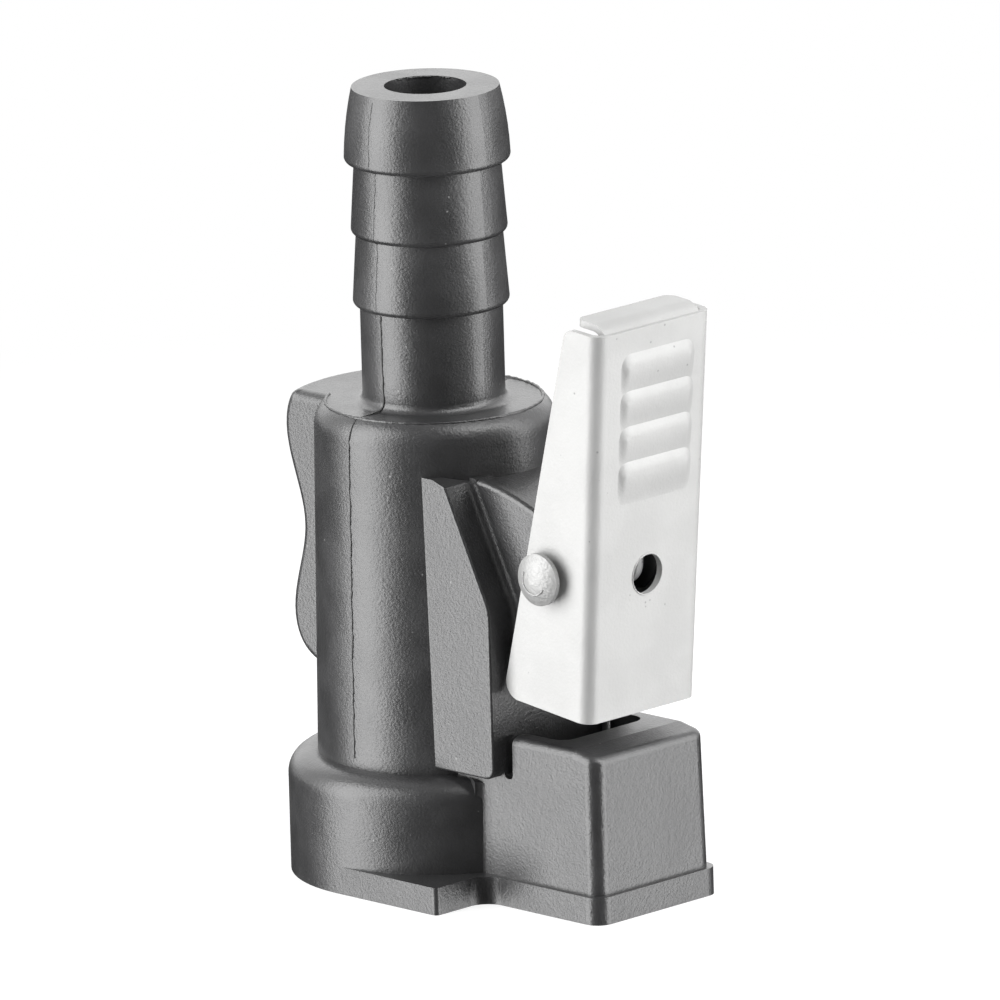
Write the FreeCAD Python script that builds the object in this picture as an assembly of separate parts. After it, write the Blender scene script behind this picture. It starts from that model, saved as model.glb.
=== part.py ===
"""Quick disconnect coupling for a fuel hose: a moulded housing with a hose barb, a spring-loaded
valve in its bore, and a stamped steel latch lever on a rivet.

Millimetres. Z runs up the bore towards the hose, X from the bore towards the lever.
The origin is on the bore's axis, in the plane of the mating face.
"""
import FreeCAD, Part
import math
import os

V = FreeCAD.Vector
AXIS_X = V(1, 0, 0)
AXIS_Y = V(0, 1, 0)
AXIS_Z = V(0, 0, 1)
ORIGIN = V(0, 0, 0)

# How far a cutter runs past what it cuts, and how near a point counts as on a surface
past = 1.0
on_it = 0.02

# Collar and barrel of the housing
collar_r = 10.85
collar_h = 8.5
collar_round = 1.7
barrel_base_r = 8.76
barrel_top_r = 8.36
shoulder_z = 33.1
shoulder_flat_r = 7.57
shoulder_round_r = 2.0

# Hose barb
stem_r = 4.94
stem_len = 6.8
stem_root_round = 0.6
barb_pitch = 5.05
barb_r = 5.41
barb_neck_r = 5.08
tip_barb_r = 5.75
tip_len = 5.25
tip_r = 5.11
tip_bulge = 0.12
barb_edge_round = 0.4
hose_bore_r = 2.85

# Finger grip on the back of the barrel, its outer face turned about the bore
grip_half_w = 4.5
grip_bottom_z = 14.2
grip_bulge_r = 11.1
grip_top_in = 0.75
grip_top_bulge_drop = 2.3
grip_waist_in = 1.4
grip_low_bulge_in = 0.35
grip_low_bulge_rise = 2.4
grip_root_in = 1.9
grip_inner_r = 6.0
grip_corner_in = 0.4
grip_corner_up = 1.2
grip_edge_round = 0.5
grip_top_round = 0.7

# Ledge and lip around the foot
ledge_h = 1.95
ledge_x = 9.7
ledge_corner_round = 0.35
ledge_root_round = 1.5
lip_out = 0.35
lip_corner_round = 1.2

# Latch box in front of the collar, and the socket in it
box_front_x = 20.25
box_half_w = 5.65
box_top_z = 12.0
box_draft = 0.18
box_corner_round = 1.0
box_top_round = 0.6
box_brow_run = 2.1
box_brow_drop = 0.4
box_root_round = 0.9
box_root_bite = 0.05
box_gap_w = 0.8
box_gap_round = 0.35
socket_back_x = 11.2
socket_half_w = 4.1
socket_mouth_x = 15.8
box_front_wall = 1.75
box_roof = 1.5
socket_corner_round = 0.8
mouth_corner_round = 1.2

# Cheek blocks on both sides, which stop the lever
cheek_half_w = 6.6
cheek_front_x = 11.35
cheek_bottom_z = 8.97
cheek_straight_top_z = 20.9
cheek_slope_top_x = 7.4
cheek_slope_top_z = 29.1
cheek_top_z = 29.5
cheek_top_run = 1.2
cheek_knee_round = 2.5
cheek_foot_round = 0.8
cheek_edge_round = 0.18

# Pivot lug
pivot_x = 15.9
pivot_z = 23.9
lug_half_w = 4.1
lug_nose_r = 2.4
lug_underside_z = 17.5
lug_underside_x = 13.0
lug_top_x = 7.0
lug_top_z = 29.4
lug_top_bow = 0.75
lug_nose_top_deg = 62
lug_nose_low_deg = -35
lug_root_round = 0.6
lug_edge_round = 0.35
lug_recess = 0.15
lug_rim_w = 0.75

# Lever, a channel folded from sheet
sheet_t = 0.5
lever_tilt_deg = 4.6
lever_face = 4.3
lever_up = 18.3
lever_down = 9.67
lever_half_w_top = 5.65
lever_half_w_bottom = 5.4
flange_top_drop = 0.25
flange_top_depth = 3.15
flange_bottom_depth = 8.1
flange_bottom_rise = 0.3
flange_foot_round = 1.2
flange_head_round = 0.8
fold_round = 1.0
tab_half_w = 4.6
tab_depth = 3.2
tab_gap_up = 0.3
tab_root_len = 3.0
tab_corner_round = 0.8
tab_fold_round = 1.5
face_hole_r = 1.45
face_hole_up = 0.2
latch_half_w = 4.1
latch_depth = 4.6
latch_fold_round = 0.7
latch_notch_r = 3.2
latch_notch_depth = 0.6
rib_count = 4
rib_top = 15.5
rib_pitch = 2.54
rib_aside = 0.35
rib_half_len = 3.5
rib_r = 1.6
rib_rise = 0.26
rib_skirt_r = 4.5
rib_skirt_rise = 0.14
rib_skirt_drop = 0.75
rib_wall_thinning = 0.12

# Rivet that the lever turns on
rivet_r = 1.2
rivet_fit = 0.05
rivet_play = 0.35
rivet_head_stand = 0.55
rivet_head_r = 1.83
rivet_rim_h = 0.35
rivet_dome_h = 0.5
rivet_tail_r = 1.6
rivet_tail_h = 0.6
rivet_tail_rim = 0.24

# Lever spring, wound round the rivet
lever_wire_r = 0.3
lever_coil_gap = 0.02
lever_coil_whole_turns = 7
lever_coil_fit = 0.12
lever_leg_len = 7.0
anchor_leg_len = 2.8
spring_touch = 0.05
spring_slot_clear = 0.2

# Port in the mating face: retainer, port seal and valve seat
port_r = 5.0
retainer_r = 8.0
retainer_h = 2.2
seal_chord_r = 1.2
seal_squeeze = 0.2
seal_gland_h = 2.5
seat_bore_r = 7.25
press_gap = 0.02
seat_stop_z = 7.2
throat_r = 3.4
seat_top_z = 13.0
seat_chamfer = 0.6

# Valve
chamber_r = 6.0
chamber_top_z = 19.0
spring_pocket_r = 4.6
spring_shoulder_z = 25.2
poppet_tip_z = 7.6
poppet_core_tip_rise = 1.0
poppet_core_taper_h = 1.0
poppet_guide_fit = 0.1
fin_count = 4
fin_t = 1.0
poppet_neck_r = 2.0
poppet_seal_r = 4.9
poppet_seal_h = 1.0
poppet_seal_fit = 0.05
poppet_head_r = 4.9
poppet_head_h = 1.2
poppet_stem_r = 2.3
poppet_stem_len = 5.6
poppet_stem_chamfer = 0.4
valve_wire_r = 0.35
valve_coil_r = 3.6
valve_coil_turns = 6.5

# Worked out from the sizes above
barb_base_z = shoulder_z + stem_len
tip_barb_z = barb_base_z + 2 * barb_pitch
top_z = tip_barb_z + tip_len
PIVOT = V(pivot_x, 0, pivot_z)
lever_coil_r = rivet_r + lever_coil_fit + lever_wire_r
lever_coil_pitch = 2 * lever_wire_r + lever_coil_gap
lever_inner_face = lever_face - sheet_t
lever_leg_reach = lever_inner_face - lever_wire_r - spring_touch
lever_leg_lean_deg = lever_tilt_deg + math.degrees(
    math.asin(lever_leg_reach / math.hypot(lever_leg_len, lever_coil_r))
    - math.atan(lever_coil_r / lever_leg_len))
lever_coil_turns = lever_coil_whole_turns + (180 - lever_leg_lean_deg) / 360
lever_coil_w = lever_coil_turns * lever_coil_pitch
spring_slot_half_w = lever_coil_w / 2 + lever_wire_r + spring_slot_clear
seal_center_r = port_r - seal_squeeze + seal_chord_r
seal_center_z = retainer_h + seal_gland_h / 2
seat_foot_z = retainer_h + seal_gland_h
poppet_head_z = seat_top_z + poppet_seal_h
valve_spring_foot_z = poppet_head_z + poppet_head_h


def arc(start, middle, end):
    return Part.Arc(start, middle, end).toShape()


def polyline_edges(points):
    return [Part.makeLine(a, b) for a, b in zip(points, points[1:])]


def prism(edges, direction):
    """A solid from a closed flat outline, moved along direction."""
    wire = Part.Wire(Part.__sortEdges__(edges))
    return Part.Face(wire).extrude(direction)


def side_plate(points, half_width):
    """A plate whose outline lies in XZ, from -half_width to half_width along Y."""
    corners = [V(x, -half_width, z) for x, z in points]
    return prism(polyline_edges(corners + corners[:1]), V(0, 2 * half_width, 0))


def block(x_low, x_high, half_width, z_low, z_high):
    size = (x_high - x_low, 2 * half_width, z_high - z_low)
    return Part.makeBox(*size, V(x_low, -half_width, z_low))


def tube_space(radius, z_low, z_high):
    return Part.makeCylinder(radius, z_high - z_low, V(0, 0, z_low))


def cross_disc(center, radius, half_width):
    """A disc whose axis runs along Y."""
    return Part.makeCylinder(radius, 2 * half_width, V(center.x, -half_width, center.z), AXIS_Y)


def turned(edges):
    """A solid of revolution about Z from a closed outline in XZ."""
    wire = Part.Wire(Part.__sortEdges__(edges))
    return Part.Face(wire).revolve(ORIGIN, AXIS_Z, 360)


def turned_from_points(points):
    corners = [V(r, 0, z) for r, z in points]
    return turned(polyline_edges(corners + corners[:1]))


def edges_where(shape, test):
    """The edges whose both ends and middle pass the test."""
    found = []
    for edge in shape.Edges:
        first, last = edge.ParameterRange
        points = [edge.valueAt(first), edge.valueAt((first + last) / 2), edge.valueAt(last)]
        if all(test(p) for p in points):
            found.append(edge)
    return found


def near(a, b):
    return abs(a - b) < on_it


def rounded(shape, radius, test):
    return shape.makeFillet(radius, edges_where(shape, test))


def barb_outline(base_z, top_z_here, widest_r, top_r, bulge=0.0):
    """One barb: a flat underside with a rounded edge, then a taper up to top_r."""
    edge = barb_edge_round
    widest = V(widest_r, 0, base_z + edge)
    top = V(top_r, 0, top_z_here)
    corner = V(widest_r - edge * (1 - math.sqrt(0.5)), 0, base_z + edge * (1 - math.sqrt(0.5)))
    edges = [arc(V(widest_r - edge, 0, base_z), corner, widest)]
    if bulge:
        middle = (widest + top) * 0.5 + V(bulge, 0, 0)
        edges.append(arc(widest, middle, top))
    else:
        edges.append(Part.makeLine(widest, top))
    return edges


def housing_turned_body():
    """Collar, barrel, stem and barbs, solid inside."""
    collar_knee = collar_round * (1 - math.sqrt(0.5))
    shoulder_center_r = barrel_top_r - shoulder_round_r
    shoulder_turn = math.acos((shoulder_flat_r - shoulder_center_r) / shoulder_round_r)
    shoulder_center_z = shoulder_z - shoulder_round_r * math.sin(shoulder_turn)
    shoulder_start, shoulder_middle, shoulder_end = [
        V(shoulder_center_r + shoulder_round_r * math.cos(turn), 0,
          shoulder_center_z + shoulder_round_r * math.sin(turn))
        for turn in (0, shoulder_turn / 2, shoulder_turn)
    ]
    root_knee = stem_root_round * (1 - math.sqrt(0.5))
    edges = polyline_edges([
        V(0, 0, top_z), ORIGIN, V(collar_r, 0, 0), V(collar_r, 0, collar_h - collar_round),
    ])
    edges.append(arc(
        V(collar_r, 0, collar_h - collar_round),
        V(collar_r - collar_knee, 0, collar_h - collar_knee),
        V(collar_r - collar_round, 0, collar_h),
    ))
    edges += polyline_edges([
        V(collar_r - collar_round, 0, collar_h), V(barrel_base_r, 0, collar_h), shoulder_start,
    ])
    edges.append(arc(shoulder_start, shoulder_middle, shoulder_end))
    edges.append(Part.makeLine(shoulder_end, V(stem_r + stem_root_round, 0, shoulder_z)))
    edges.append(arc(
        V(stem_r + stem_root_round, 0, shoulder_z),
        V(stem_r + root_knee, 0, shoulder_z + root_knee),
        V(stem_r, 0, shoulder_z + stem_root_round),
    ))
    edges.append(Part.makeLine(V(stem_r, 0, shoulder_z + stem_root_round), V(stem_r, 0, barb_base_z)))
    below_r = stem_r
    for number in range(2):
        base_z = barb_base_z + number * barb_pitch
        edges.append(Part.makeLine(V(below_r, 0, base_z), V(barb_r - barb_edge_round, 0, base_z)))
        edges += barb_outline(base_z, base_z + barb_pitch, barb_r, barb_neck_r)
        below_r = barb_neck_r
    edges.append(Part.makeLine(
        V(below_r, 0, tip_barb_z), V(tip_barb_r - barb_edge_round, 0, tip_barb_z)))
    edges += barb_outline(tip_barb_z, top_z, tip_barb_r, tip_r, tip_bulge)
    edges.append(Part.makeLine(V(tip_r, 0, top_z), V(0, 0, top_z)))
    return turned(edges)


def finger_grip():
    """Plate with a hollowed outer face, for the thumb. Its side faces are flat."""
    top_bulge_z = shoulder_z - grip_top_bulge_drop
    low_bulge_z = grip_bottom_z + grip_low_bulge_rise
    points = [V(inward - grip_bulge_r, 0, z) for inward, z in (
        (grip_top_in, shoulder_z),
        (grip_corner_in / 2, top_bulge_z + grip_corner_up),
        (0, top_bulge_z),
        (grip_waist_in, (top_bulge_z + low_bulge_z) / 2),
        (grip_low_bulge_in, low_bulge_z),
        (grip_low_bulge_in + grip_corner_in, low_bulge_z - grip_corner_up),
        (grip_root_in, grip_bottom_z),
    )]
    outer_edge = Part.BSplineCurve()
    outer_edge.interpolate(points)
    edges = [outer_edge.toShape()] + polyline_edges([
        points[-1], V(-grip_inner_r, 0, grip_bottom_z), V(-grip_inner_r, 0, shoulder_z), points[0],
    ])
    ring = turned(edges)
    plate = ring.common(block(-2 * grip_bulge_r, 0, grip_half_w, 0, shoulder_z + past))
    upright = [
        e for e in edges_where(plate, lambda p: near(abs(p.y), grip_half_w) and p.x < -grip_inner_r)
        if e.BoundBox.ZLength > grip_low_bulge_rise and e.BoundBox.XMin < grip_root_in - grip_bulge_r
    ]
    plate = plate.makeFillet(grip_edge_round, upright)
    top = [
        e for e in edges_where(plate, lambda p: near(p.z, shoulder_z) and p.x < on_it - grip_inner_r)
        if e.BoundBox.XMin < -grip_inner_r - past
    ]
    return plate.makeFillet(grip_top_round, top)


def foot():
    """Thin plate that squares off the collar on both sides, and the lip round the latch box."""
    ledge = block(0, ledge_x, collar_r, 0, ledge_h)
    ledge = rounded(
        ledge, ledge_corner_round,
        lambda p: near(p.x, ledge_x) and near(abs(p.y), collar_r))
    lip_x, lip_half_w = box_front_x + lip_out, box_half_w + lip_out
    lip = block(0, lip_x, lip_half_w, 0, ledge_h)
    lip = rounded(lip, lip_corner_round, lambda p: near(p.x, lip_x) and near(abs(p.y), lip_half_w))
    return rounded(
        ledge.fuse(lip), ledge_root_round,
        lambda p: near(p.x, ledge_x) and near(abs(p.y), lip_half_w))


def latch_box():
    """Drafted box in front of the collar. Its roof falls a little towards the front."""
    def outline(front_x, half_width, z):
        corners = [
            V(0, -half_width, z), V(front_x, -half_width, z),
            V(front_x, half_width, z), V(0, half_width, z),
        ]
        return Part.makePolygon(corners + corners[:1])

    top_half_w = box_half_w - box_draft
    top_front_x = box_front_x - box_draft
    walls = Part.makeLoft(
        [outline(box_front_x, box_half_w, 0), outline(top_front_x, top_half_w, box_top_z)], True, True)
    fall = box_brow_drop * (1 + past / box_brow_run)
    brow = side_plate([
        (top_front_x - box_brow_run, box_top_z), (top_front_x + past, box_top_z),
        (top_front_x + past, box_top_z - fall),
    ], box_half_w)
    walls = walls.cut(brow)
    walls = rounded(
        walls, box_corner_round,
        lambda p: p.x > top_front_x - on_it and abs(p.y) > top_half_w - on_it)
    rim_z = box_top_z - box_brow_drop
    rim = [
        e for e in edges_where(walls, lambda p: p.z > rim_z - on_it and p.x > -on_it)
        if e.BoundBox.XMax > on_it and not near(e.BoundBox.YLength, 2 * top_half_w)
    ]
    return walls.makeFillet(box_top_round, rim)


def box_webs():
    """Hollow-faced web on each side, where the collar runs into the latch box."""
    reach = collar_r + box_root_round - box_root_bite
    center_y = box_half_w + box_root_round - box_root_bite
    center = V(math.sqrt(reach ** 2 - center_y ** 2), -center_y, 0)
    in_collar_x = center.x - 2 * box_root_round
    in_box_y = box_root_round - box_half_w
    lean = V(0, box_draft * collar_h / box_top_z, collar_h)
    web = prism(polyline_edges([
        center, V(center.x, in_box_y, 0), V(in_collar_x, in_box_y, 0), V(in_collar_x, -box_half_w, 0), center,
    ]), lean)
    hollow = Part.Face(Part.Wire(Part.makeCircle(box_root_round, center))).extrude(lean)
    cap = tube_space(collar_r + box_root_round, 0, collar_h)
    cap = rounded(cap, collar_round, lambda p: near(p.z, collar_h))
    web = web.cut(hollow).common(cap)
    return [web, web.mirror(ORIGIN, AXIS_Y)]


def behind_the_box():
    """Narrow gap that leaves the upper part of the box standing free of the cheeks."""
    gap = block(cheek_front_x, cheek_front_x + box_gap_w, cheek_half_w, cheek_bottom_z, box_top_z + past)
    return rounded(gap, box_gap_round, lambda p: near(p.z, cheek_bottom_z))


def socket_space():
    """Room for the mating part's latch post: wide below, with a smaller mouth in the box's roof."""
    front_x = box_front_x - box_draft - box_front_wall
    wide = block(socket_back_x, front_x, socket_half_w, -past, box_top_z - box_roof)
    wide = rounded(
        wide, socket_corner_round,
        lambda p: near(abs(p.y), socket_half_w) and (near(p.x, socket_back_x) or near(p.x, front_x)))
    mouth_low_z = box_top_z - box_roof - past
    mouth = block(socket_back_x, socket_mouth_x, socket_half_w, mouth_low_z, lug_underside_z)
    mouth = rounded(
        mouth, mouth_corner_round,
        lambda p: near(abs(p.y), socket_half_w) and near(p.x, socket_mouth_x))
    return wide.fuse(mouth)


def cheek_blocks():
    """The block whose two sides stand out past the lug, with a sloping top."""
    top_end_x = cheek_slope_top_x - cheek_top_run
    outline = [
        (0, cheek_bottom_z), (cheek_front_x, cheek_bottom_z), (cheek_front_x, cheek_straight_top_z),
        (cheek_slope_top_x, cheek_slope_top_z), (top_end_x, cheek_top_z), (0, cheek_top_z),
    ]
    plate = side_plate(outline, cheek_half_w)
    plate = rounded(
        plate, cheek_knee_round,
        lambda p: near(p.x, cheek_front_x) and near(p.z, cheek_straight_top_z))
    plate = rounded(
        plate, cheek_foot_round,
        lambda p: near(p.x, cheek_front_x) and near(p.z, cheek_bottom_z))
    return rounded(
        plate, cheek_edge_round,
        lambda p: near(abs(p.y), cheek_half_w) and p.x > top_end_x + on_it)


def lug_top_edge():
    """The bowed line along which the lug's top falls from the barrel to the nose."""
    start = V(lug_top_x, -lug_half_w, lug_top_z)
    nose_top = lug_nose_point(lug_nose_top_deg)
    return arc(start, (start + nose_top) * 0.5 + V(0, 0, lug_top_bow), nose_top)


def lug_nose_point(degrees):
    turn = math.radians(degrees)
    return V(pivot_x + lug_nose_r * math.cos(turn), -lug_half_w, pivot_z + lug_nose_r * math.sin(turn))


def pivot_lug():
    """Lug that carries the rivet, with a rounded nose and a top that falls away to it."""
    y = -lug_half_w
    nose = [lug_nose_point(degrees) for degrees in (lug_nose_top_deg, 0, lug_nose_low_deg)]
    edges = [lug_top_edge(), arc(*nose)]
    edges += polyline_edges([
        nose[-1], V(lug_underside_x, y, lug_underside_z), V(0, y, lug_underside_z),
        V(0, y, lug_top_z), V(lug_top_x, y, lug_top_z),
    ])
    return prism(edges, V(0, 2 * lug_half_w, 0))


def lug_top_finish():
    """What is taken off the lug's top: its sharp edges, and a shallow recess between two rims."""
    bow = lug_top_edge().Curve
    disc = cross_disc(bow.Center, bow.Radius, lug_half_w)
    disc = disc.makeFillet(lug_edge_round, edges_where(disc, lambda p: near(abs(p.y), lug_half_w)))
    nose_top = lug_nose_point(lug_nose_top_deg)
    around = block(
        lug_top_x + past, nose_top.x, lug_half_w, nose_top.z - lug_edge_round, lug_top_z + past)
    inner_half_w = lug_half_w - lug_rim_w
    recess = around.common(cross_disc(bow.Center, 2 * bow.Radius, inner_half_w)).cut(
        cross_disc(bow.Center, bow.Radius - lug_recess, inner_half_w))
    return [around.cut(disc), recess]


def spring_slot():
    """Slot between the two ears of the lug, open to the front and the top."""
    back_x = pivot_x - lever_coil_r - lever_wire_r - spring_touch
    floor_z = pivot_z - lever_coil_r - lever_wire_r - spring_slot_clear
    return block(back_x, pivot_x + 2 * lug_nose_r, spring_slot_half_w, floor_z, lug_top_z + past)


def housing_bores():
    """Port, valve chamber and hose bore, one after the other up the axis."""
    spaces = [
        tube_space(retainer_r + press_gap, -past, retainer_h),
        tube_space(seat_bore_r, 0, seat_top_z),
        tube_space(chamber_r, 0, chamber_top_z),
        tube_space(spring_pocket_r, 0, spring_shoulder_z),
        tube_space(hose_bore_r, 0, top_z + past),
    ]
    return spaces[0].multiFuse(spaces[1:])


def make_housing():
    arms = cheek_blocks().fuse(pivot_lug())
    root = edges_where(
        arms,
        lambda p: near(abs(p.y), lug_half_w) and p.x < cheek_front_x + on_it
        and lug_underside_z - on_it < p.z < cheek_slope_top_z + on_it)
    root = [e for e in root if e.BoundBox.ZLength > lug_root_round]
    arms = arms.makeFillet(lug_root_round, root).cut(lug_top_finish())
    box = latch_box().cut(behind_the_box())
    solid = housing_turned_body().multiFuse([box, finger_grip(), foot(), arms] + box_webs())
    pivot_hole = Part.makeCylinder(
        rivet_r + rivet_fit, 4 * lug_half_w, PIVOT - AXIS_Y * 2 * lug_half_w, AXIS_Y)
    solid = solid.cut([socket_space(), spring_slot(), housing_bores(), pivot_hole])
    return solid.removeSplitter()


def lever_half_width(height):
    """Half the lever's width at a height above the rivet: it narrows towards the foot."""
    share = (height + lever_down) / (lever_up + lever_down)
    return lever_half_w_bottom + (lever_half_w_top - lever_half_w_bottom) * share


def tapered_slab(inset, x_low, x_high, z_low, z_high):
    """The space between the lever's two leaning sides, moved in by inset."""
    low, high = lever_half_width(z_low) - inset, lever_half_width(z_high) - inset
    corners = [V(x_low, -low, z_low), V(x_low, low, z_low), V(x_low, high, z_high), V(x_low, -high, z_high)]
    return prism(polyline_edges(corners + corners[:1]), V(x_high - x_low, 0, 0))


def capsule(center_x, center_y, center_z, half_straight, radius):
    """A round-ended bar along Y."""
    start = V(center_x, center_y - half_straight, center_z)
    bar = Part.makeCylinder(radius, 2 * half_straight, start, AXIS_Y)
    ends = [Part.makeSphere(radius, start), Part.makeSphere(radius, start + AXIS_Y * 2 * half_straight)]
    return bar.multiFuse(ends)


def lever_channel():
    """Front face and two flanges, folded, with its face along Z and the rivet at the origin."""
    flange_top = lever_up - flange_top_drop
    outline = [
        (lever_face, -lever_down), (lever_face, flange_top),
        (lever_face - flange_top_depth, flange_top),
        (lever_face - flange_bottom_depth, -lever_down + flange_bottom_rise),
    ]
    side = side_plate(outline, 2 * lever_half_w_top)
    side = rounded(side, flange_foot_round, lambda p: near(p.x, outline[3][0]) and near(p.z, outline[3][1]))
    side = rounded(side, flange_head_round, lambda p: near(p.x, outline[2][0]) and near(p.z, outline[2][1]))
    low_z, high_z = -lever_down - past, lever_up + past
    outer = tapered_slab(0, -lever_face * 3, lever_face, low_z, high_z)
    outer = rounded(
        outer, fold_round,
        lambda p: near(p.x, lever_face) and abs(p.y) > lever_half_width(low_z) - on_it)
    inner = tapered_slab(sheet_t, -lever_face * 3, lever_inner_face, low_z, high_z)
    inner = rounded(
        inner, fold_round - sheet_t,
        lambda p: near(p.x, lever_inner_face) and abs(p.y) > lever_half_width(low_z) - sheet_t - on_it)
    return side.common(outer).cut(inner)


def folded_strip(half_width, depth, face_low_z, bend_z, upward, fold):
    """A strip that runs along the lever's face and folds back over its end."""
    direction = 1 if upward else -1
    outer_end = bend_z
    inner_end = bend_z - direction * sheet_t
    back_x = lever_face - depth
    knee = math.sqrt(0.5)
    y = -half_width

    def bend(x_face, z_end, radius):
        return arc(
            V(x_face, y, z_end - direction * radius),
            V(x_face - radius * (1 - knee), y, z_end - direction * radius * (1 - knee)),
            V(x_face - radius, y, z_end),
        )

    inner_fold = fold - sheet_t
    outer_start = V(lever_face, y, outer_end - direction * fold)
    inner_start = V(lever_inner_face, y, inner_end - direction * inner_fold)
    edges = [bend(lever_face, outer_end, fold), bend(lever_inner_face, inner_end, inner_fold)]
    edges += polyline_edges([
        V(lever_face - fold, y, outer_end), V(back_x, y, outer_end), V(back_x, y, inner_end),
        V(lever_inner_face - inner_fold, y, inner_end),
    ])
    edges += polyline_edges([
        inner_start, V(lever_inner_face, y, face_low_z), V(lever_face, y, face_low_z), outer_start,
    ])
    return prism(edges, V(0, 2 * half_width, 0))


def make_lever():
    channel = lever_channel()
    top_bend_z = lever_up + tab_gap_up
    tab = folded_strip(tab_half_w, tab_depth, lever_up - tab_root_len, top_bend_z, True, tab_fold_round)
    tab = rounded(
        tab, tab_corner_round,
        lambda p: near(p.x, lever_face - tab_depth) and near(abs(p.y), tab_half_w))
    latch = folded_strip(
        latch_half_w, latch_depth, 2 * latch_fold_round - lever_down, -lever_down, False, latch_fold_round)
    notch_x = lever_face - latch_depth - latch_notch_r + latch_notch_depth
    notch = Part.makeCylinder(latch_notch_r, 3 * sheet_t, V(notch_x, 0, -lever_down - sheet_t))
    latch = latch.cut(notch)
    ribs, hollows = [], []
    rib_x = lever_face + rib_rise - rib_r
    skirt_x = lever_face + rib_skirt_rise - rib_skirt_r
    rib_straight = rib_half_len - math.sqrt(rib_r ** 2 - (rib_r - rib_rise) ** 2)
    skirt_straight = rib_half_len - math.sqrt(rib_skirt_r ** 2 - (rib_skirt_r - rib_skirt_rise) ** 2)
    hollow_r = rib_r - sheet_t + rib_wall_thinning
    for number in range(rib_count):
        z = rib_top - number * rib_pitch
        ribs.append(capsule(rib_x, rib_aside, z, rib_straight, rib_r))
        ribs.append(capsule(skirt_x, rib_aside, z - rib_skirt_drop, skirt_straight, rib_skirt_r))
        hollows.append(capsule(rib_x, rib_aside, z, rib_straight, hollow_r))
    outside = block(lever_inner_face, 2 * lever_face, lever_half_w_top, 0, lever_up)
    ribs = [rib.common(outside) for rib in ribs]
    body = channel.multiFuse([tab, latch] + ribs).cut(hollows)
    face_hole = Part.makeCylinder(
        face_hole_r, 4 * sheet_t, V(lever_face - 2 * sheet_t, 0, face_hole_up), AXIS_X)
    rivet_hole = Part.makeCylinder(
        rivet_r + rivet_fit, 4 * lever_half_w_top, V(0, -2 * lever_half_w_top, 0), AXIS_Y)
    body = body.cut([face_hole, rivet_hole]).removeSplitter()
    body.rotate(ORIGIN, AXIS_Y, lever_tilt_deg)
    body.translate(PIVOT)
    return body


def make_pivot_rivet():
    """Domed head on the -Y side, peened tail on the +Y side, loose in the lever's holes."""
    tail_z = lever_half_width(0) + rivet_play
    head_z = lever_half_width(0) + rivet_head_stand
    dome_r = (rivet_head_r ** 2 + rivet_dome_h ** 2) / (2 * rivet_dome_h)
    rim_z = head_z + rivet_rim_h
    dome_center_z = rim_z + rivet_dome_h - dome_r
    half_angle = math.asin(rivet_head_r / dome_r) / 2
    dome_middle = V(dome_r * math.sin(half_angle), 0, dome_center_z + dome_r * math.cos(half_angle))
    edges = polyline_edges([
        V(0, 0, -tail_z - rivet_tail_h), V(rivet_tail_r, 0, -tail_z - rivet_tail_rim),
        V(rivet_tail_r, 0, -tail_z), V(rivet_r, 0, -tail_z), V(rivet_r, 0, head_z),
        V(rivet_head_r, 0, head_z), V(rivet_head_r, 0, rim_z),
    ])
    edges.append(arc(V(rivet_head_r, 0, rim_z), dome_middle, V(0, 0, rim_z + rivet_dome_h)))
    edges.append(Part.makeLine(V(0, 0, rim_z + rivet_dome_h), V(0, 0, -tail_z - rivet_tail_h)))
    body = turned(edges)
    body.rotate(ORIGIN, AXIS_X, 90)
    body.translate(PIVOT)
    return body


def swept_round(path_edges, radius):
    """A round wire along a smooth path."""
    path = Part.Wire(path_edges)
    first = path.OrderedEdges[0]
    start = first.valueAt(first.FirstParameter)
    direction = first.tangentAt(first.FirstParameter)
    section = Part.Wire(Part.makeCircle(radius, start, direction))
    return path.makePipeShell([section], True, False)


def make_lever_spring():
    """Torsion spring: close turns round the rivet, one leg up to the lever's face, one to the slot."""
    height = lever_coil_turns * lever_coil_pitch
    helix = Part.makeLongHelix(lever_coil_pitch, height, lever_coil_r)
    coil = helix.OrderedEdges
    first, last = coil[0], coil[-1]
    start = first.valueAt(first.FirstParameter)
    start_way = first.tangentAt(first.FirstParameter)
    end = last.valueAt(last.LastParameter)
    end_way = last.tangentAt(last.LastParameter)
    legs = [
        Part.makeLine(start - start_way * lever_leg_len, start),
        Part.makeLine(end, end + end_way * anchor_leg_len),
    ]
    body = swept_round([legs[0]] + list(coil) + [legs[1]], lever_wire_r)
    body.translate(V(0, 0, -height / 2))
    body.rotate(ORIGIN, AXIS_X, -90)
    body.rotate(ORIGIN, AXIS_Y, lever_leg_lean_deg)
    body.translate(PIVOT)
    return body


def make_seal_retainer():
    return tube_space(retainer_r, 0, retainer_h).cut(tube_space(port_r, -past, retainer_h + past))


def make_port_seal():
    return Part.makeTorus(seal_center_r, seal_chord_r, V(0, 0, seal_center_z))


def make_valve_seat():
    return turned_from_points([
        (port_r, seat_foot_z), (seat_bore_r - press_gap, seat_foot_z),
        (seat_bore_r - press_gap, seat_top_z), (throat_r + seat_chamfer, seat_top_z),
        (throat_r, seat_top_z - seat_chamfer), (throat_r, seat_stop_z), (port_r, seat_stop_z),
    ])


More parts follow.
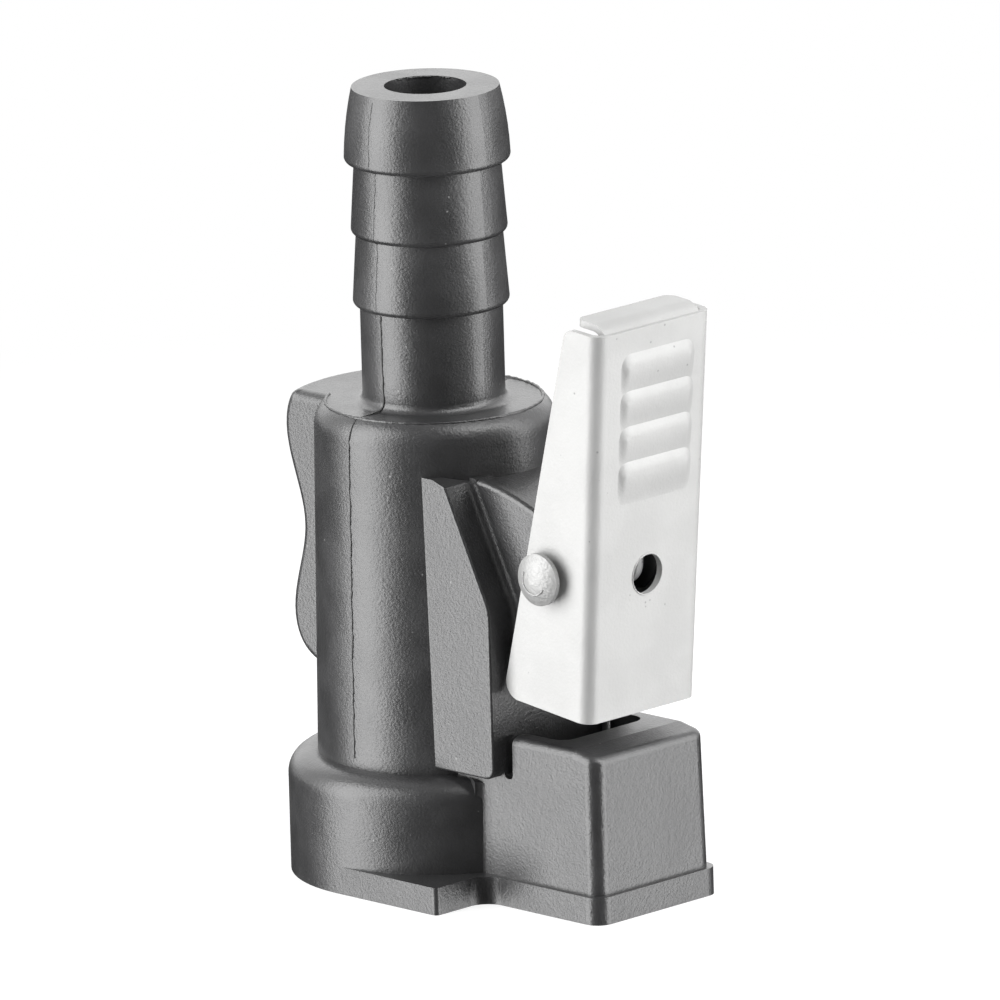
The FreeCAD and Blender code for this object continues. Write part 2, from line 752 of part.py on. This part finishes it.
def make_poppet():
    """Finned guide below, head in the middle, stem inside the spring above."""
    guide_r = throat_r - poppet_guide_fit
    fins = [
        block(-guide_r, guide_r, fin_t / 2, poppet_tip_z, poppet_head_z)
        .rotate(ORIGIN, AXIS_Z, number * 360 / fin_count)
        for number in range(fin_count // 2)
    ]
    guide = fins[0].multiFuse(fins[1:]).common(tube_space(guide_r, poppet_tip_z, poppet_head_z))
    core_tip_z = poppet_tip_z + poppet_core_tip_rise
    stem_top = valve_spring_foot_z + poppet_stem_len
    core = turned_from_points([
        (0, core_tip_z), (poppet_neck_r, core_tip_z + poppet_core_taper_h), (poppet_neck_r, poppet_head_z),
        (poppet_head_r, poppet_head_z), (poppet_head_r, valve_spring_foot_z),
        (poppet_stem_r, valve_spring_foot_z), (poppet_stem_r, stem_top - poppet_stem_chamfer),
        (poppet_stem_r - poppet_stem_chamfer, stem_top), (0, stem_top),
    ])
    return core.fuse(guide).removeSplitter()


def make_poppet_seal():
    hole_r = throat_r - poppet_guide_fit + poppet_seal_fit
    return tube_space(poppet_seal_r, seat_top_z, poppet_head_z).cut(
        tube_space(hole_r, seat_top_z - past, poppet_head_z + past))


def make_valve_spring():
    """Compression spring with its two ends ground flat."""
    room = spring_shoulder_z - valve_spring_foot_z
    pitch = room / valve_coil_turns
    helix = Part.makeLongHelix(pitch, room, valve_coil_r)
    coil = swept_round(list(helix.OrderedEdges), valve_wire_r)
    coil.translate(V(0, 0, valve_spring_foot_z))
    return coil.common(tube_space(2 * valve_coil_r, valve_spring_foot_z, spring_shoulder_z))


PIECES = {
    "housing": make_housing,
    "lever": make_lever,
    "pivot_rivet": make_pivot_rivet,
    "lever_spring": make_lever_spring,
    "seal_retainer": make_seal_retainer,
    "port_seal": make_port_seal,
    "valve_seat": make_valve_seat,
    "poppet": make_poppet,
    "poppet_seal": make_poppet_seal,
    "valve_spring": make_valve_spring,
}

os.makedirs("parts", exist_ok=True)
for name, make in PIECES.items():
    shape = make()
    shape.exportStep(f"parts/{name}.step")
    print(name, "valid" if shape.isValid() else "NOT VALID", "solids", len(shape.Solids),
          "faces", len(shape.Faces), "volume", round(shape.Volume, 2))
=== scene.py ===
"""Looks of the quick disconnect coupling: a moulded housing with a stamped steel latch lever.

Metres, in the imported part's own frame: Z up the bore, X from the bore towards the lever,
the origin on the bore's axis in the plane of the mating face.
"""
import math
import random

import bmesh
import bpy
from mathutils import Matrix, Vector
from mathutils.bvhtree import BVHTree


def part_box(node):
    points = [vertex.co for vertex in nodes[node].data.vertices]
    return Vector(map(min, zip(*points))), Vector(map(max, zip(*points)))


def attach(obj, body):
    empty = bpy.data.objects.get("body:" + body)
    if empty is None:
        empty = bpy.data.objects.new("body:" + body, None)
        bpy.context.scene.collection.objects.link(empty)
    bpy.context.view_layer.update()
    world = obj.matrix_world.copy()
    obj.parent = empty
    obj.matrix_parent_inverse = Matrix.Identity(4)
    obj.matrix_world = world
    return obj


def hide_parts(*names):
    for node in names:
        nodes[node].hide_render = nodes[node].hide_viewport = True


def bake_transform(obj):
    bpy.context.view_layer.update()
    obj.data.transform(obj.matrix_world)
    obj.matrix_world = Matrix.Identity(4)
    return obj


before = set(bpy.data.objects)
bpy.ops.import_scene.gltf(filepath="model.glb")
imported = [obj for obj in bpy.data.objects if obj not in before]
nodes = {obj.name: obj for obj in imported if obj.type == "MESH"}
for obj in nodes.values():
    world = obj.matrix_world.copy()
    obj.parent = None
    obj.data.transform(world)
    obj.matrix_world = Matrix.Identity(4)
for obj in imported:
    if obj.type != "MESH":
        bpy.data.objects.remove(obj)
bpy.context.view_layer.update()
mm = 0.001


# Camera
# A long lens looks at the coupling from between its side and its lever, from a little above,
# and leans a little to the right, so that the barb stands a little to the left.
view_azimuth = math.radians(45.08)
view_elevation = math.radians(13.9)
view_roll = math.radians(1.629)
view_distance = 1557.9 * mm
view_aim = Vector((5.163, 0.973, 26.447)) * mm
sensor_width = 36.0
focal_length = 22.6109 * sensor_width
nearest_seen = 0.01
farthest_seen = 20


def direction_from(azimuth, elevation):
    """Unit vector at an azimuth turned from -Y towards +X, and a height over the floor."""
    flat = math.cos(elevation)
    return Vector((math.sin(azimuth) * flat, -math.cos(azimuth) * flat, math.sin(elevation)))


def looking_along(backward, roll):
    """Turn of a camera or lamp whose back points along backward."""
    right = Vector((0, 0, 1)).cross(backward).normalized()
    up = backward.cross(right)
    turn = Matrix((right, up, backward)).transposed()
    return turn @ Matrix.Rotation(-roll, 3, "Z")


camera_data = bpy.data.cameras.new("camera")
camera_data.sensor_width = sensor_width
camera_data.lens = focal_length
camera_data.clip_start = nearest_seen
camera_data.clip_end = farthest_seen
camera = bpy.data.objects.new("camera", camera_data)
bpy.context.scene.collection.objects.link(camera)
camera_back = direction_from(view_azimuth, view_elevation)
camera.matrix_world = Matrix.Translation(view_aim + camera_back * view_distance) @ looking_along(
    camera_back, view_roll).to_4x4()
bpy.context.scene.camera = camera


# Studio
# A pale table with two tall soft lamps, one on each side of the camera's line, a weak one overhead, a
# broad one high at the back and a small one high on the lever's side. What shines looks past the table
# to the lamps and to a dark shell, which stands open only at the back, where the white backdrop shows.
lamp_distance = 0.62
lamp_height = 1.05
lamp_center_z = 0.11
side_lamps = (
    {"name": "lamp_left", "turn": math.radians(-73), "width": 0.53, "radiance": 4.8},
    {"name": "lamp_right", "turn": math.radians(75), "width": 0.46, "radiance": 4.1},
)
top_lamp_size = 0.5
top_lamp_height = 0.75
top_lamp_radiance = 0.3
top_lamp_aside = 0.001
back_lamp_elevation = math.radians(26)
back_lamp_distance = 1.0
back_lamp_width = 1.4
back_lamp_height = 0.85
back_lamp_radiance = 0.95
high_lamp_turn = math.radians(48)
high_lamp_elevation = math.radians(56)
high_lamp_distance = 0.8
high_lamp_size = 0.42
high_lamp_radiance = 3.2
floor_radius = 2.5
floor_sides = 96
shadow_room = (0.045, 0.16)
floor_pale = 0.9
floor_roughness = 0.9
floor_glow = 0.62
floor_lift = 0.32
white = (1, 1, 1, 1)
shell_radius = 1.4
shell_segments = 48
shell_rings = 24
shell_rim_z = -0.005
shell_open_behind = 0.1
cloth_black = (0.03, 0.03, 0.03, 1)
ambient = 0.12


def link_mesh(name, mesh_builder):
    mesh = bpy.data.meshes.new(name)
    mesh_builder.to_mesh(mesh)
    mesh_builder.free()
    piece = bpy.data.objects.new(name, mesh)
    bpy.context.scene.collection.objects.link(piece)
    return piece


def new_material(name):
    """A material with one Principled shader, and its node tree."""
    material = bpy.data.materials.new(name)
    material.use_nodes = True
    return material, material.node_tree, material.node_tree.nodes["Principled BSDF"]


def node(tree, kind, **values):
    made = tree.nodes.new(kind)
    for key, value in values.items():
        setattr(made, key, value)
    return made


def math_node(tree, operation, first, second):
    """A Math node; each input is a number or another node's output."""
    made = node(tree, "ShaderNodeMath", operation=operation)
    for socket, value in zip(made.inputs, (first, second)):
        if isinstance(value, (int, float)):
            socket.default_value = value
        else:
            tree.links.new(value, socket)
    return made.outputs[0]


def ramp_between(tree, value, low, high, to_low=0.0, to_high=1.0):
    """value from low to high gives to_low to to_high, smoothly."""
    made = node(tree, "ShaderNodeMapRange", interpolation_type="SMOOTHSTEP")
    tree.links.new(value, made.inputs["Value"])
    for name, number in (("From Min", low), ("From Max", high), ("To Min", to_low), ("To Max", to_high)):
        made.inputs[name].default_value = number
    return made.outputs["Result"]


def seen_directly(tree):
    """One for the rays that show a background: straight, glossy or through glass."""
    rays = node(tree, "ShaderNodeLightPath")
    either = math_node(tree, "MAXIMUM", rays.outputs["Is Camera Ray"], rays.outputs["Is Glossy Ray"])
    return math_node(tree, "MAXIMUM", either, rays.outputs["Is Transmission Ray"])


def add_floor():
    builder = bmesh.new()
    bmesh.ops.create_circle(builder, cap_ends=True, radius=floor_radius, segments=floor_sides)
    floor = link_mesh("floor", builder)
    material, tree, shader = new_material("pale_table")
    shader.inputs["Base Color"].default_value = (floor_pale, floor_pale, floor_pale, 1)
    shader.inputs["Roughness"].default_value = floor_roughness
    shader.inputs["Specular IOR Level"].default_value = 0.0
    place = node(tree, "ShaderNodeTexCoord")
    reach = node(tree, "ShaderNodeVectorMath", operation="LENGTH")
    tree.links.new(place.outputs["Object"], reach.inputs[0])
    glow_share = ramp_between(tree, reach.outputs["Value"], *shadow_room, floor_glow, 1.0)
    glow = node(tree, "ShaderNodeEmission")
    glow.inputs["Color"].default_value = white
    tree.links.new(ramp_between(tree, reach.outputs["Value"], *shadow_room, 1 + floor_lift, 1.0),
                   glow.inputs["Strength"])
    mix = node(tree, "ShaderNodeMixShader")
    tree.links.new(math_node(tree, "MULTIPLY", seen_directly(tree), glow_share), mix.inputs["Fac"])
    tree.links.new(shader.outputs["BSDF"], mix.inputs[1])
    tree.links.new(glow.outputs["Emission"], mix.inputs[2])
    tree.links.new(mix.outputs["Shader"], tree.nodes["Material Output"].inputs["Surface"])
    floor.data.materials.append(material)
    floor.visible_glossy = False
    floor.visible_shadow = False


def add_shell():
    """The dark part of the studio, which only glossy rays reach."""
    builder = bmesh.new()
    bmesh.ops.create_uvsphere(
        builder, u_segments=shell_segments, v_segments=shell_rings, radius=shell_radius)
    behind = -direction_from(view_azimuth, 0)
    cuts = ((Vector((0, 0, shell_rim_z)), Vector((0, 0, 1))), (behind * shell_open_behind, behind))
    for point, way in cuts:
        everything = builder.verts[:] + builder.edges[:] + builder.faces[:]
        bmesh.ops.bisect_plane(builder, geom=everything, plane_co=point, plane_no=way)
    opening = [
        face for face in builder.faces
        if face.calc_center_median().z > shell_rim_z
        and face.calc_center_median().dot(behind) > shell_open_behind
    ]
    bmesh.ops.delete(builder, geom=opening, context="FACES")
    shell = link_mesh("shell", builder)
    material, tree, shader = new_material("dark_cloth")
    shader.inputs["Base Color"].default_value = cloth_black
    shader.inputs["Roughness"].default_value = 1.0
    shader.inputs["Specular IOR Level"].default_value = 0.0
    shell.data.materials.append(material)
    shell.visible_camera = False
    shell.visible_shadow = False
    shell.visible_diffuse = False


def add_lamp(name, center, width, height, radiance):
    """A soft lamp that faces the coupling and isn't seen itself."""
    lamp_data = bpy.data.lights.new(name, "AREA")
    lamp_data.shape = "RECTANGLE"
    lamp_data.size = width
    lamp_data.size_y = height
    lamp_data.energy = radiance * math.pi * width * height
    lamp = bpy.data.objects.new(name, lamp_data)
    bpy.context.scene.collection.objects.link(lamp)
    lamp.matrix_world = Matrix.Translation(center) @ looking_along(center.normalized(), 0).to_4x4()
    lamp.visible_camera = False
    return lamp


def add_world():
    world = bpy.data.worlds.new("studio")
    world.use_nodes = True
    tree = world.node_tree
    backdrop = tree.nodes["Background"]
    backdrop.inputs["Color"].default_value = white
    strength = ramp_between(tree, seen_directly(tree), 0, 1, ambient, 1.0)
    tree.links.new(strength, backdrop.inputs["Strength"])
    bpy.context.scene.world = world


add_floor()
add_shell()
for side_lamp in side_lamps:
    flat_way = direction_from(view_azimuth + side_lamp["turn"], 0)
    add_lamp(side_lamp["name"], flat_way * lamp_distance + Vector((0, 0, lamp_center_z)),
             side_lamp["width"], lamp_height, side_lamp["radiance"])
add_lamp("lamp_top", Vector((0, top_lamp_aside, top_lamp_height)), top_lamp_size, top_lamp_size,
         top_lamp_radiance)
back_way = direction_from(view_azimuth + math.pi, back_lamp_elevation)
add_lamp("lamp_back", back_way * back_lamp_distance, back_lamp_width, back_lamp_height, back_lamp_radiance)
high_way = direction_from(view_azimuth + high_lamp_turn, high_lamp_elevation)
add_lamp("lamp_high", high_way * high_lamp_distance, high_lamp_size, high_lamp_size, high_lamp_radiance)
add_world()
bpy.context.scene.view_settings.view_transform = "Standard"


# Housing
# One moulding in black acetal: collar, barrel, grip, cheeks, lug, latch box and barbed stem. It has the
# fine leathery grain that the mould's eroded walls leave, a few pale specks, and a slightly uneven shine.
plastic_black = (0.032, 0.032, 0.033)
plastic_roughness = 0.36
plastic_uneven = 0.12
plastic_ior = 1.54
plastic_specular = 1.0
plastic_grain_scale = 6200.0
speck_share = 0.03
speck_grey = (0.2, 0.2, 0.2)
housing_grain = 0.02 * mm
cell_share = 0.6
fine_share = 0.8
coarse_share = 0.6
coarse_ratio = 0.37
patch_scale = 260.0
patch_range = (0.35, 0.65)
speck_ratio = 0.25
speck_rim = (0.06, 0.14)
fine_shine = 0.12
patch_shine = 0.4


def new_group(name, inputs, outputs):
    """A node group with float inputs and outputs."""
    group = bpy.data.node_groups.new(name, "ShaderNodeTree")
    for title, value in inputs.items():
        socket = group.interface.new_socket(name=title, in_out="INPUT", socket_type="NodeSocketFloat")
        socket.default_value = value
    for title in outputs:
        group.interface.new_socket(name=title, in_out="OUTPUT", socket_type="NodeSocketFloat")
    return group, node(group, "NodeGroupInput"), node(group, "NodeGroupOutput")


def texture(tree, kind, coordinates, scale, **numbers):
    made = node(tree, kind)
    tree.links.new(coordinates, made.inputs["Vector"])
    if isinstance(scale, (int, float)):
        made.inputs["Scale"].default_value = scale
    else:
        tree.links.new(scale, made.inputs["Scale"])
    for name, number in numbers.items():
        made.inputs[name].default_value = number
    return made


def grain_group():
    """Pebbled relief broken up by noise, with broad patches and a few small specks."""
    group, entry, leave = new_group(
        "surface_grain", {"Scale": plastic_grain_scale, "Specks": speck_share},
        ("Height", "Fine", "Patches", "Specks"))
    place = node(group, "ShaderNodeTexCoord").outputs["Object"]
    scale = entry.outputs["Scale"]
    cells = texture(group, "ShaderNodeTexVoronoi", place, scale)
    cells.feature = "SMOOTH_F1"
    fine = texture(group, "ShaderNodeTexNoise", place, scale, Detail=3.0, Roughness=0.65)
    coarse_scale = math_node(group, "MULTIPLY", scale, coarse_ratio)
    coarse = texture(group, "ShaderNodeTexNoise", place, coarse_scale, Detail=1.0)
    broad = texture(group, "ShaderNodeTexNoise", place, patch_scale, Detail=2.0)
    relief = math_node(group, "ADD", math_node(group, "MULTIPLY", cells.outputs["Distance"], cell_share),
                       math_node(group, "MULTIPLY", fine.outputs["Fac"], fine_share))
    relief = math_node(
        group, "ADD", relief, math_node(group, "MULTIPLY", coarse.outputs["Fac"], coarse_share))
    patches = ramp_between(group, broad.outputs["Fac"], *patch_range)
    spots = texture(group, "ShaderNodeTexVoronoi", place, math_node(group, "MULTIPLY", scale, speck_ratio))
    parts = node(group, "ShaderNodeSeparateColor")
    group.links.new(spots.outputs["Color"], parts.inputs["Color"])
    chosen = math_node(group, "LESS_THAN", parts.outputs["Red"], entry.outputs["Specks"])
    near = ramp_between(group, spots.outputs["Distance"], *speck_rim, 1.0, 0.0)
    for title, value in (("Height", relief), ("Fine", fine.outputs["Fac"]), ("Patches", patches),
                         ("Specks", math_node(group, "MULTIPLY", near, chosen))):
        group.links.new(value, leave.inputs[title])
    return group


surface_grain = grain_group()


def finish_with_grain(tree, shader, colour, roughness, depth, scale, specks, speck_colour, uneven):
    """Gives a shader the grain's relief, its specks, and a tint and shine that are a little uneven."""
    grain = node(tree, "ShaderNodeGroup", node_tree=surface_grain)
    grain.inputs["Scale"].default_value = scale
    grain.inputs["Specks"].default_value = specks
    bump = node(tree, "ShaderNodeBump")
    bump.inputs["Strength"].default_value = 1.0
    bump.inputs["Distance"].default_value = depth
    tree.links.new(grain.outputs["Height"], bump.inputs["Height"])
    tree.links.new(bump.outputs["Normal"], shader.inputs["Normal"])
    tint = node(tree, "ShaderNodeMix", data_type="RGBA")
    tint.inputs["A"].default_value = (*[(1 - uneven) * c for c in colour], 1)
    tint.inputs["B"].default_value = (*[(1 + uneven) * c for c in colour], 1)
    tree.links.new(grain.outputs["Patches"], tint.inputs["Factor"])
    speckled = node(tree, "ShaderNodeMix", data_type="RGBA")
    tree.links.new(grain.outputs["Specks"], speckled.inputs["Factor"])
    tree.links.new(tint.outputs["Result"], speckled.inputs["A"])
    speckled.inputs["B"].default_value = (*speck_colour, 1)
    tree.links.new(speckled.outputs["Result"], shader.inputs["Base Color"])
    shine = math_node(tree, "ADD", math_node(tree, "MULTIPLY", grain.outputs["Fine"], fine_shine),
                      math_node(tree, "MULTIPLY", grain.outputs["Patches"], uneven * patch_shine))
    dullest = roughness - fine_shine / 2 - uneven * patch_shine / 2
    tree.links.new(math_node(tree, "ADD", shine, dullest), shader.inputs["Roughness"])


def moulded_plastic(name, colour, roughness, grain_depth):
    material, tree, shader = new_material(name)
    finish_with_grain(tree, shader, colour, roughness, grain_depth, plastic_grain_scale, speck_share,
                      speck_grey, plastic_uneven)
    shader.inputs["Specular IOR Level"].default_value = plastic_specular
    shader.inputs["IOR"].default_value = plastic_ior
    return material


def dress(node_name, material):
    """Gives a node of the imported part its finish."""
    mesh = nodes[node_name].data
    mesh.materials.clear()
    mesh.materials.append(material)


black_acetal = moulded_plastic("black_acetal", plastic_black, plastic_roughness, housing_grain)
dress("housing", black_acetal)


# Mould marks
# What the mould leaves on the housing: a thin line of flash on each side where its halves met, a
# burr round the shoulder's rim, and torn bits at the bore's mouth. The flash lines are a darker black
# than the housing, which paints a line of shade along them.
# Darker than the housing's own black: painted shade along the parting lines.
flash_painted_shade_black = (0.015, 0.015, 0.015)
flash_roughness = 0.5
smooth_grain = 0.01 * mm
line_runs = (
    {"name": "body", "low": 9.2 * mm, "high": 39.8 * mm, "thick": 0.14 * mm},
    {"name": "barbs", "low": 40.0 * mm, "high": 54.9 * mm, "thick": 0.05 * mm},
)
line_points = 150
line_wander = 0.08 * mm
line_keep = 0.8
line_stray = 0.4
line_uneven = (0.65, 1.25)
rim_burr_points = 160
rim_burr_above = 38 * mm
rim_burr_r = 7.52 * mm
rim_burr_thick = 0.24 * mm
rim_burr_half_turn = math.radians(150)
mouth_burr_r = 2.84 * mm
mouth_burr_drop = 0.08 * mm
mouth_burr_thick = 0.15 * mm
mouth_burrs = ((98, 114), (127, 162), (170, 176))
outside = 30 * mm


def skin_of(node_name):
    """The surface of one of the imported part's nodes, to lay fine marks on."""
    mesh = nodes[node_name].data
    return BVHTree.FromPolygons([v.co for v in mesh.vertices], [face.vertices for face in mesh.polygons])


def laid_on(skin, starts, way):
    """Where rays from the starts along a way meet a surface."""
    hits = [skin.ray_cast(start, way)[0] for start in starts]
    return [hit for hit in hits if hit is not None]


def fine_line(name, points, thickness, material, body, closed=False):
    """A fine raised line, uneven in thickness, half sunk in the surface that its points lie on."""
    uneven = random.Random(name)
    line = bpy.data.curves.new(name, "CURVE")
    line.dimensions = "3D"
    line.bevel_depth = thickness / 2
    line.bevel_resolution = 1
    line.use_fill_caps = not closed
    spline = line.splines.new("POLY")
    spline.points.add(len(points) - 1)
    spline.use_cyclic_u = closed
    for spline_point, point in zip(spline.points, points):
        spline_point.co = (*point, 1)
        spline_point.radius = uneven.uniform(*line_uneven)
    piece = bpy.data.objects.new(name, line)
    bpy.context.scene.collection.objects.link(piece)
    line.materials.append(material)
    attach(piece, body)


def steps(low, high, count):
    """Evenly spaced values from low to high."""
    return [low + (high - low) * number / (count - 1) for number in range(count)]


def around(radius, z, turns):
    """Points on a circle round the bore's axis."""
    return [Vector((radius * math.cos(turn), radius * math.sin(turn), z)) for turn in turns]


housing_skin = skin_of("housing")
# The flash lines' finish, darker than the housing: painted shade.
flash = moulded_plastic("flash", flash_painted_shade_black, flash_roughness, smooth_grain)
for side, side_name in ((-1, "near"), (1, "far")):
    for run in line_runs:
        name = "parting_line_%s_%s" % (run["name"], side_name)
        wander = random.Random(name)
        drift = 0.0
        starts = []
        for z in steps(run["low"], run["high"], line_points):
            drift = line_keep * drift + line_stray * wander.uniform(-line_wander, line_wander)
            starts.append(Vector((drift, side * outside, z)))
        fine_line(name, laid_on(housing_skin, starts, Vector((0, -side, 0))), run["thick"], flash,
                  "housing")

rim_turns = steps(-rim_burr_half_turn, rim_burr_half_turn, rim_burr_points)
rim_starts = around(rim_burr_r, rim_burr_above, rim_turns)
fine_line("rim_burr", laid_on(housing_skin, rim_starts, Vector((0, 0, -1))), rim_burr_thick,
          black_acetal, "housing")
mouth_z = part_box("housing")[1][2] - mouth_burr_drop
for number, (from_deg, to_deg) in enumerate(mouth_burrs):
    turns = steps(math.radians(from_deg), math.radians(to_deg), to_deg - from_deg)
    fine_line("mouth_burr_%d" % number, around(mouth_burr_r, mouth_z, turns), mouth_burr_thick,
              black_acetal, "housing")


# Lever
# A channel stamped and folded from stainless sheet, tumbled after folding to a dull satin that
# scatters the light, with fine pits. Four ribs are pressed out of its face like shallow louvres,
# and the punch has rolled the edge of its hole.
steel_pale = (0.535, 0.535, 0.53)
steel_roughness = 0.66
steel_metallic = 0.65
steel_grain = 0.013 * mm
steel_grain_scale = 5200.0
steel_uneven = 0.03
pit_share = 0.1
pit_grey = (0.36, 0.36, 0.36)
pivot = Vector((15.9, 0, 23.9)) * mm
lever_lean = math.radians(4.6)
from_lever = Matrix.Translation(pivot) @ Matrix.Rotation(lever_lean, 4, "Y")
lever_face = 4.3 * mm
rib_count = 4
rib_top = 15.5 * mm
rib_pitch = 2.54 * mm
rib_aside = 0.35 * mm
rib_half_len = 3.5 * mm
rib_r = 1.6 * mm
rib_rise = 0.26 * mm
rib_tail = 2.6 * mm
rib_tail_half = 2.9 * mm
rib_end = 0.8 * mm
rib_upper = 0.9 * mm
rib_columns = 64
rib_rows = 40
rib_margin = 0.1 * mm
rib_skin = 0.012 * mm
rib_dip = 0.03 * mm
rib_sunk = 0.06 * mm
hole_r = 1.45 * mm
hole_up = 0.2 * mm
hole_roll = 0.12 * mm
hole_points = 72


def satin_steel(name, colour, roughness, grain_depth, metallic=1.0):
    material, tree, shader = new_material(name)
    finish_with_grain(tree, shader, colour, roughness, grain_depth, steel_grain_scale, pit_share,
                      pit_grey, steel_uneven)
    shader.inputs["Metallic"].default_value = metallic
    return material


def soft_fall(way, length):
    """One at the start of a way and none past its length, with a soft start and end."""
    return 0.5 + 0.5 * math.cos(math.pi * min(1.0, max(0.0, way) / length))


def rib_height(across, up):
    """How far a rib stands over the face: a round ridge that falls away slowly below its crest."""
    half_w = math.sqrt(rib_r ** 2 - (rib_r - rib_rise) ** 2)
    beyond = max(0.0, abs(across) - (rib_half_len - half_w))
    ridge = math.sqrt(max(0.0, rib_r ** 2 - beyond ** 2 - up ** 2)) - (rib_r - rib_rise)
    if up > 0:
        return ridge
    tail = soft_fall(-up, rib_tail) * soft_fall(abs(across) - rib_tail_half, rib_end)
    return max(ridge, (rib_rise + rib_dip) * tail - rib_dip)


def add_rib(number, material):
    """One rib, drawn as a skin over the face that runs down to the next rib."""
    builder = bmesh.new()
    bmesh.ops.create_grid(builder, x_segments=rib_columns, y_segments=rib_rows, size=1.0)
    for vert in builder.verts:
        across = vert.co.x * (rib_tail_half + rib_end + rib_margin)
        up = (vert.co.y * (rib_tail + rib_upper + 2 * rib_margin) + rib_upper - rib_tail) / 2
        height = max(-rib_sunk, rib_height(across, up)) + rib_skin
        vert.co = Vector((lever_face + height, across + rib_aside, rib_top - number * rib_pitch + up))
    bmesh.ops.solidify(builder, geom=builder.faces[:], thickness=rib_sunk)
    bmesh.ops.recalc_face_normals(builder, faces=builder.faces[:])
    bmesh.ops.transform(builder, matrix=from_lever, verts=builder.verts[:])
    for face in builder.faces:
        face.smooth = True
    rib = link_mesh("rib_%d" % number, builder)
    rib.data.materials.append(material)
    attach(rib, "lever")


satin_stainless = satin_steel("satin_stainless", steel_pale, steel_roughness, steel_grain, steel_metallic)
dress("lever", satin_stainless)
for rib_number in range(rib_count):
    add_rib(rib_number, satin_stainless)
hole_edge = [
    from_lever @ Vector((lever_face, hole_r * math.cos(turn), hole_up + hole_r * math.sin(turn)))
    for turn in steps(0, math.tau, hole_points + 1)[:-1]
]
fine_line("hole_roll", hole_edge, hole_roll, satin_stainless, "lever", closed=True)


# Rivet
# A plated steel rivet set through the lever's flanges and the housing's lug. Its domed head carries
# part of the ring that the setting tool pressed in it.
rivet_steel_pale = (0.43, 0.43, 0.426)
rivet_roughness = 0.55
rivet_grain = 0.035 * mm
stake_r = 1.0 * mm
stake_thick = 0.16 * mm
stake_turns = (150, 330)
stake_points = 40

rivet_steel = satin_steel("rivet_steel", rivet_steel_pale, rivet_roughness, rivet_grain, steel_metallic)
dress("pivot_rivet", rivet_steel)
stake_starts = [
    pivot + Vector((stake_r * math.cos(turn), -outside, stake_r * math.sin(turn)))
    for turn in steps(math.radians(stake_turns[0]), math.radians(stake_turns[1]), stake_points)
]
fine_line("stake_ring", laid_on(skin_of("pivot_rivet"), stake_starts, Vector((0, 1, 0))), stake_thick,
          rivet_steel, "lever")


# Springs
# Two springs of drawn steel wire: a torsion spring wound round the rivet, with a leg that pushes on the
# lever's face, and a compression spring that holds the valve shut. A lamp in line with the camera lights
# only the coil, which shows in the lever's hole.
coil_wire_pale = (0.8, 0.8, 0.8)
coil_wire_roughness = 0.5
coil_wire_metallic = 0.3
valve_wire_grey = (0.5, 0.5, 0.5)
valve_wire_roughness = 0.35
wire_grain = 0.002 * mm
glint_distance = 1.2
glint_size = 0.3
glint_radiance = 34


def add_spring(node_name, material):
    """A spring drawn as a copy of its node's mesh in its wire's finish, with the node itself hidden."""
    builder = bmesh.new()
    builder.from_mesh(nodes[node_name].data)
    spring = link_mesh(node_name + "_wire", builder)
    spring.data.materials.clear()
    spring.data.materials.append(material)
    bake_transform(spring)
    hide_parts(node_name)
    return spring


coil_wire = satin_steel("spring_wire", coil_wire_pale, coil_wire_roughness, wire_grain, coil_wire_metallic)
coil = add_spring("lever_spring", coil_wire)
coil_glint = add_lamp("lamp_glint", camera_back * glint_distance, glint_size, glint_size, glint_radiance)
lit_coil = bpy.data.collections.new("lit_coil")
lit_coil.objects.link(coil)
coil_glint.light_linking.receiver_collection = lit_coil
valve_wire = satin_steel("valve_spring_wire", valve_wire_grey, valve_wire_roughness, wire_grain)
add_spring("valve_spring", valve_wire)


# Valve
# Moulded pieces pressed or dropped into the housing's bore: the ring that holds the port's
# seal, the seat, the poppet with its fins, all in dark plastic, and two seals in black rubber.
valve_black = (0.05, 0.05, 0.05)
valve_roughness = 0.4
rubber_black = (0.02, 0.02, 0.02)
rubber_roughness = 0.6

for valve_node in ("seal_retainer", "valve_seat", "poppet"):
    dress(valve_node, moulded_plastic(valve_node + "_plastic", valve_black, valve_roughness, smooth_grain))
for seal_node in ("port_seal", "poppet_seal"):
    dress(seal_node, moulded_plastic(seal_node + "_rubber", rubber_black, rubber_roughness, smooth_grain))
